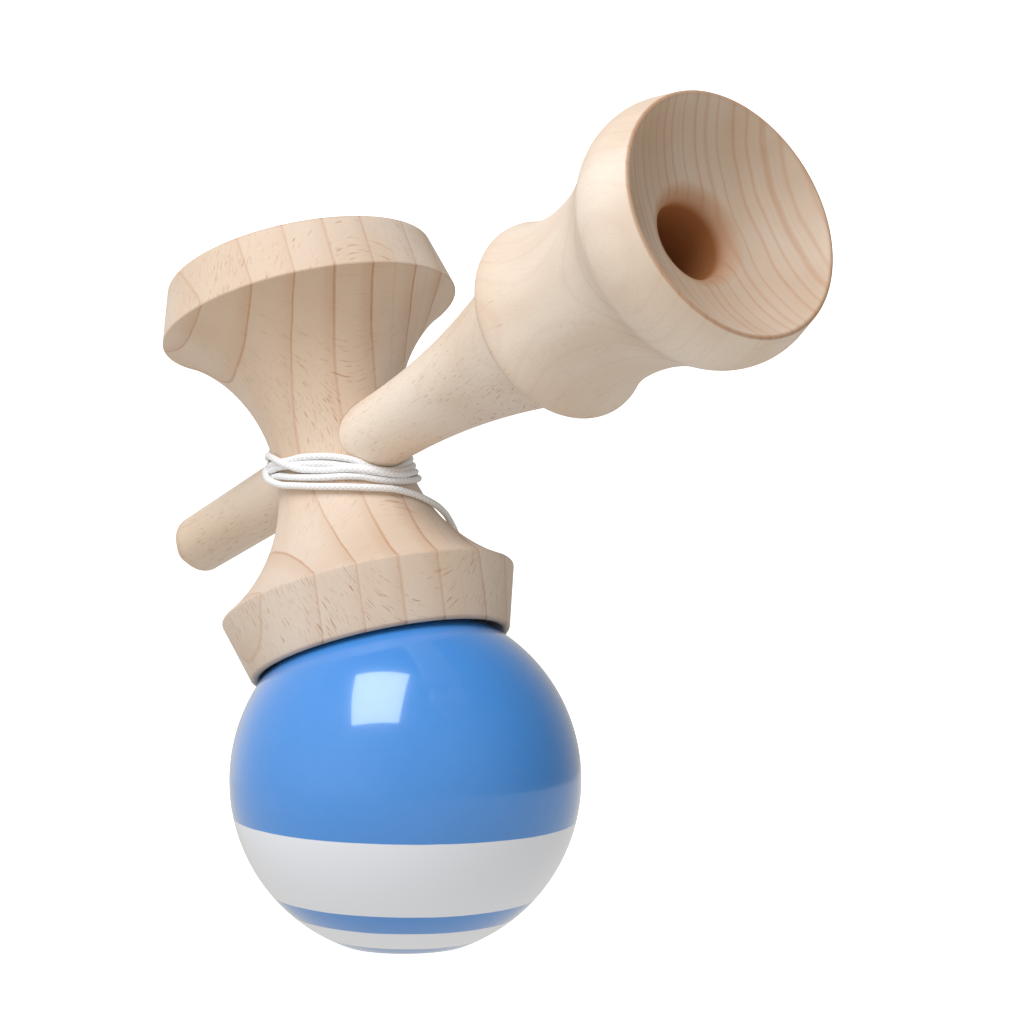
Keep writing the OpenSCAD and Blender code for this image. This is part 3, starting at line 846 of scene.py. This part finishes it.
def tube(name, path, half_thick, half_wide, start_normal, matrix):
    """A cord along a path in millimetres; its u runs once round it and its v along it."""
    sides = STRING_SIDES
    ahead = np.gradient(path, axis=0)
    ahead /= np.linalg.norm(ahead, axis=1)[:, None]
    normal = np.array(start_normal, float)
    run = np.concatenate([[0], np.cumsum(np.linalg.norm(np.diff(path, axis=0), axis=1))])
    around = 2 * np.pi * (np.arange(sides) + 0.5) / sides
    points = []
    for p, t in zip(path, ahead):
        normal = normal - normal.dot(t) * t
        normal /= np.linalg.norm(normal)
        side = np.cross(t, normal)
        thick = (half_thick * np.cos(around))[:, None] * normal
        wide = (half_wide * np.sin(around))[:, None] * side
        points.extend((p + thick + wide) * MM)
    faces = []
    spots = []
    for i in range(len(path) - 1):
        for j in range(sides):
            k = (j + 1) % sides
            faces.append((i * sides + j, i * sides + k, (i + 1) * sides + k, (i + 1) * sides + j))
            left = j / sides
            right = (j + 1) / sides
            spots.extend([(left, run[i]), (right, run[i]), (right, run[i + 1]), (left, run[i + 1])])
    last = (len(path) - 1) * sides
    faces.append(tuple(range(sides - 1, -1, -1)))
    faces.append(tuple(range(last, last + sides)))
    spots.extend([(0, 0)] * (2 * sides))
    obj = add_mesh(name, points, faces, matrix)
    lay = obj.data.uv_layers.new(name="lay")
    lay.data.foreach_set("uv", np.array(spots, np.float32).ravel())
    set_smooth(obj, sharp_angle=75)
    obj.data.materials.append(WHITE_STRING)
    return obj


def wound_string():
    """The string on the cross-piece: out of its hole, round the waist and down its tail to the ball."""
    wound = settle(FIRST_TURN + SECOND_TURN + THIRD_TURN + FOURTH_TURN + LAST_TURN)
    lead = [np.array((0, y, 0.0)) for y in LEAD_ROUTE]
    tail = [np.array(p, float) for p in TAIL_ROUTE] + [into_cross_frame(bridge_point(BRIDGE_FROM))]
    path = on_spline(lead + list(wound[JOIN_FROM::JOIN_EVERY]) + tail, STRING_STEP)
    obj = tube("wound_string", path, CORD_D / 2, CORD_D / 2, (0, 0, 1), CROSS_FRAME)
    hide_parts("cord_lead", "cord_winding", "cord_tail")
    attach(obj, "cross_piece")


def bridging_string():
    """The flat string under the cup, laid on the ball from where the tail ends up to its top."""
    stop = math.degrees((CORD_D / 2 + BRIDGE_STOP_GAP) / BRIDGE_R)
    angles = [BRIDGE_FROM + (stop - BRIDGE_FROM) * i / BRIDGE_STEPS for i in range(BRIDGE_STEPS + 1)]
    path = np.array([bridge_point(a) for a in angles])
    outward = path[0] - np.array((0, 0, BALL_Z))
    wide = (CORD_D / 2) ** 2 / (CORD_FLAT / 2)
    obj = tube("bridging_string", path, CORD_FLAT / 2, wide, outward, Matrix.Identity(4))
    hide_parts("cord_bridge")
    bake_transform(obj)


def dropping_string():
    """The string down the ball's hole, through the bead."""
    top = BALL_Z + BALL_R + CORD_D
    heights = np.arange(BEAD_Z - BEAD_HALF_H - STRING_PAST_BEAD, top, STRING_STEP)
    path = np.array([(0, 0, h) for h in heights])
    obj = tube("dropping_string", path, CORD_D / 2, CORD_D / 2, (1, 0, 0), Matrix.Identity(4))
    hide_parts("cord_drop")
    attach(obj, "tether")


def bead_knot():
    """An overhand knot pulled up under the bead."""
    size = KNOT_D / 2 - CORD_D / 2
    turns = np.linspace(0, 2 * np.pi, 120, endpoint=False)
    along_x = np.sin(turns) + 2 * np.sin(2 * turns)
    along_y = np.cos(turns) - 2 * np.cos(2 * turns)
    along_z = -np.sin(3 * turns) * KNOT_SWELL
    loop = np.stack([along_x, along_y, along_z], axis=1) * size / 3
    low = BEAD_Z - BEAD_HALF_H - CORD_GAP - KNOT_D / 2
    obj = tube("knot_under_bead", loop + (0, 0, low), CORD_D / 2, CORD_D / 2, (0, 0, 1), Matrix.Identity(4))
    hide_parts("bead_knot")
    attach(obj, "tether")


wound_string()
bridging_string()
dropping_string()
bead_knot()

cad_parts["handle_knot"].data.materials.clear()
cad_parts["handle_knot"].data.materials.append(WHITE_STRING)

# Wooden pieces
CROSS_BEECH = beech(
    "cross_beech", ring_turn=math.radians(13), ring_width=7.2, pith_away=167.9, shift=(0, 0, 0),
    pale=PALE_BEECH, line_width=0.3, line_dark=1.0, side_rings=0.45, specks=0.8, end_dark=0.15,
)
HANDLE_BEECH = beech(
    "handle_beech", ring_turn=math.radians(-9.5), ring_width=2.1, pith_away=90, shift=(0, 0, 40),
    pale=colour(243, 228, 210), line_width=0.36, line_dark=0.45, side_rings=0.16, specks=0.45, end_dark=0.5,
)
BALL_BEECH = beech(
    "ball_beech", ring_turn=math.radians(20), ring_width=3.0, pith_away=50, shift=(0, 5, 20),
    pale=PALE_BEECH, line_width=0.4, line_dark=0.6, side_rings=0.4, specks=0.4, end_dark=0.2,
)
BALL_LACQUER = lacquer()


def turned(obj, material, node, body, slot):
    """Finishes a turned piece, which stands in for a CAD node and rides its body."""
    set_smooth(obj)
    obj.data.materials.append(material)
    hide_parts(node)
    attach(obj, body)


def cross_cup():
    """The cross-piece, with its tapered socket and the string's hole in its side."""
    upper = cup_outline(BIG_LIP_R, BIG_BOWL_DEPTH, TOP_HEIGHT)
    lower = [(r, -s, dark) for r, s, dark in cup_outline(SMALL_LIP_R, SMALL_BOWL_DEPTH, AXIS_HEIGHT)]
    obj = lathe("cross_cup_turned", upper + lower[-2::-1], CROSS_FRAME)
    reach = 2 * WAIST_R
    sideways = CROSS_FRAME @ Matrix.Rotation(-math.pi / 2, 4, "X")
    cut(
        obj,
        drill(socket_r(-reach) + FIT_GAP, socket_r(reach) + FIT_GAP, -reach, reach, HANDLE_FRAME),
        drill(CORD_HOLE_R, CORD_HOLE_R, 0, reach, sideways),
    )
    turned(obj, CROSS_BEECH, "cross_cup", "cross_piece", "beech")


def handle():
    """The handle, with the string's hole across it and the recess for its knot."""
    obj = lathe("handle_turned", handle_outline(), HANDLE_FRAME)
    sideways = CROSS_FRAME @ Matrix.Rotation(math.pi / 2, 4, "X")
    recess_r = KNOT_D / 2 + SEAT_GAP
    recess_floor = SOCKET_R - KNOT_D - 2 * SEAT_GAP
    cut(
        obj,
        drill(CORD_HOLE_R, CORD_HOLE_R, -WAIST_R, WAIST_R, sideways),
        drill(recess_r, recess_r, recess_floor, WAIST_R, sideways),
    )
    turned(obj, HANDLE_BEECH, "handle", "handle", "beech")


def ball():
    """The painted ball, bare wood in its holes."""
    def low(points):
        return [(r, s - BALL_Z, 0.0) for r, s in points]

    first = math.degrees(-math.acos(STAND_R / BALL_R))
    last = math.degrees(math.acos((STRING_HOLE_R + STRING_HOLE_BEVEL) / BALL_R))
    skin = plain(arc((0, 0), BALL_R, first, last, 140))
    top = BALL_Z + BALL_R * math.sin(math.radians(last))
    holes = low([
        (STRING_HOLE_R, top - STRING_HOLE_BEVEL_DEPTH), (STRING_HOLE_R, POCKET_TOP), (POCKET_R, POCKET_TOP),
        (POCKET_R, SPIKE_HOLE_DEPTH), (SPIKE_HOLE_R, SPIKE_HOLE_DEPTH), (SPIKE_HOLE_R, SPIKE_HOLE_BEVEL),
        (SPIKE_HOLE_R + SPIKE_HOLE_BEVEL, 0),
    ])
    obj = lathe("ball_turned", skin + holes, BALL_FRAME, ring=True)
    turned(obj, BALL_LACQUER, "ball", "ball", "lacquer")
    obj.data.materials.append(BALL_BEECH)
    # Faces inside the holes, deeper than the paint reaches, are bare wood
    bare_r = (SPIKE_HOLE_R + BARE_MARGIN) * MM
    paint_r = (BALL_R - PAINT_REACH) * MM
    for face in obj.data.polygons:
        r = math.hypot(face.center.x, face.center.y)
        if r < bare_r and face.center.length < paint_r:
            face.material_index = 1


def bead():
    """The drilled bead in the ball's pocket."""
    inner = BEAD_HALF_H - BEAD_BEVEL_DEPTH
    hole = plain([
        (BEAD_HOLE_R + BEAD_BEVEL, BEAD_HALF_H), (BEAD_HOLE_R, inner),
        (BEAD_HOLE_R, -inner), (BEAD_HOLE_R + BEAD_BEVEL, -BEAD_HALF_H),
    ])
    flat = math.degrees(math.asin(BEAD_HALF_H / BEAD_R))
    skin = plain(arc((0, 0), BEAD_R, -flat, flat, 32))
    obj = lathe("bead_turned", skin + hole, Matrix.Translation((0, 0, BEAD_Z * MM)), ring=True, turns=96)
    turned(obj, HANDLE_BEECH, "bead", "tether", "beech")


cross_cup()
handle()
ball()
bead()


# Stage: a pale floor that curves up behind the toy, and soft light, with distances in metres
FLOOR_HALF = 3.0
FLOOR_BEHIND = 1.4
BACKDROP_CURVE = 0.8
CURVE_STEPS = 24
FLOOR_COLOUR = (0.86, 0.86, 0.86, 1)
FLOOR_GLOW = (1, 1, 1, 1)
FLOOR_GLOW_STRENGTH = 0.95


def add_floor():
    """The floor. It doesn't light the toy or show in its gloss: the world's table stands in for it."""
    rows = [(-FLOOR_HALF, 0.0), (FLOOR_BEHIND, 0.0)]
    for i in range(1, CURVE_STEPS + 1):
        a = math.pi / 2 * i / CURVE_STEPS
        rows.append((FLOOR_BEHIND + BACKDROP_CURVE * math.sin(a), BACKDROP_CURVE * (1 - math.cos(a))))
    rows.append((FLOOR_BEHIND + BACKDROP_CURVE, FLOOR_HALF))
    away = -Vector((BACK.x, BACK.y, 0)).normalized()
    points = []
    for run, height in rows:
        for side in (-FLOOR_HALF, FLOOR_HALF):
            points.append(away * run + RIGHT * side + Vector((0, 0, height)))
    faces = [(2 * i, 2 * i + 1, 2 * i + 3, 2 * i + 2) for i in range(len(rows) - 1)]
    floor = add_mesh("floor", points, faces)
    set_smooth(floor)
    n = new_material("pale_floor")
    floor.data.materials.append(n.finish(
        base_color=FLOOR_COLOUR, roughness=0.8,
        emission_color=FLOOR_GLOW, emission_strength=FLOOR_GLOW_STRENGTH,
    ))
    floor.visible_diffuse = False
    floor.visible_glossy = False


# Key light: its direction as the camera sees it, its distance and size in metres, and its roll
KEY_RIGHT = -0.275
KEY_UP = 0.89
KEY_BACK = 0.50
KEY_DISTANCE = 0.9
KEY_WIDTH = 0.49
KEY_HEIGHT = 0.60
KEY_ROLL = math.radians(16)
KEY_AIM_UP = 0.03
KEY_POWER = 5.6
KEY_COLOUR = (0.98, 1.01, 1.09)

# World: the strength of the light from each side, and where along its direction each begins
ROOM = 0.2
LEFT_SIDE = 0.46
LEFT_FROM = -0.2
FRONT_SIDE = 0.36
FRONT_FROM = -0.1
BACKDROP = 0.3
BACKDROP_FROM = -0.3
TABLE = 0.7
TABLE_EDGE = -0.1
TABLE_BLUR = 0.015
WORLD_COLOUR = (1.0, 0.985, 0.96, 1)


def add_key_light():
    """A soft box that faces the toy from above, on the left and in front."""
    data = bpy.data.lights.new("key", "AREA")
    data.shape = "RECTANGLE"
    data.size = KEY_WIDTH
    data.size_y = KEY_HEIGHT
    data.energy = KEY_POWER
    data.color = KEY_COLOUR
    lamp = bpy.data.objects.new("key", data)
    bpy.context.collection.objects.link(lamp)
    toward = (RIGHT * KEY_RIGHT + Vector((0, 0, KEY_UP)) + BACK * KEY_BACK).normalized()
    aim = BALL_CENTRE + Vector((0, 0, KEY_AIM_UP))
    turn = toward.to_track_quat("Z", "Y").to_matrix().to_4x4() @ Matrix.Rotation(KEY_ROLL, 4, "Z")
    lamp.matrix_world = Matrix.Translation(aim + toward * KEY_DISTANCE) @ turn


def add_world():
    """Soft light from a pale table and from a room that is brighter on the left, in front and behind."""
    world = bpy.data.worlds.new("studio")
    bpy.context.scene.world = world
    n = Nodes(world)
    way = n.add("ShaderNodeTexCoord").outputs["Generated"]
    height = n.add("ShaderNodeSeparateXYZ", {0: way}).outputs[2]

    def toward(direction):
        values = {0: way, 1: direction}
        return n.add("ShaderNodeVectorMath", values, operation="DOT_PRODUCT").outputs["Value"]

    frontward = toward(BACK)
    left_side = n.step(toward(-RIGHT), LEFT_FROM, 1.0, LEFT_SIDE)
    front_side = n.step(frontward, FRONT_FROM, 1.0, FRONT_SIDE)
    backdrop = n.step(frontward, BACKDROP_FROM, -1.0, BACKDROP)
    sides = n.math("ADD", n.math("ADD", left_side, front_side), backdrop)
    room = n.math("ADD", sides, ROOM)
    above = n.step(height, TABLE_EDGE - TABLE_BLUR, TABLE_EDGE + TABLE_BLUR)
    table = n.math("MULTIPLY", n.math("SUBTRACT", 1.0, above), TABLE)
    background = n.tree.nodes["Background"]
    n.put(background.inputs["Color"], WORLD_COLOUR)
    n.put(background.inputs["Strength"], n.math("ADD", n.math("MULTIPLY", room, above), table))


add_floor()
add_world()
add_key_light()
bpy.context.scene.view_settings.view_transform = "Standard"
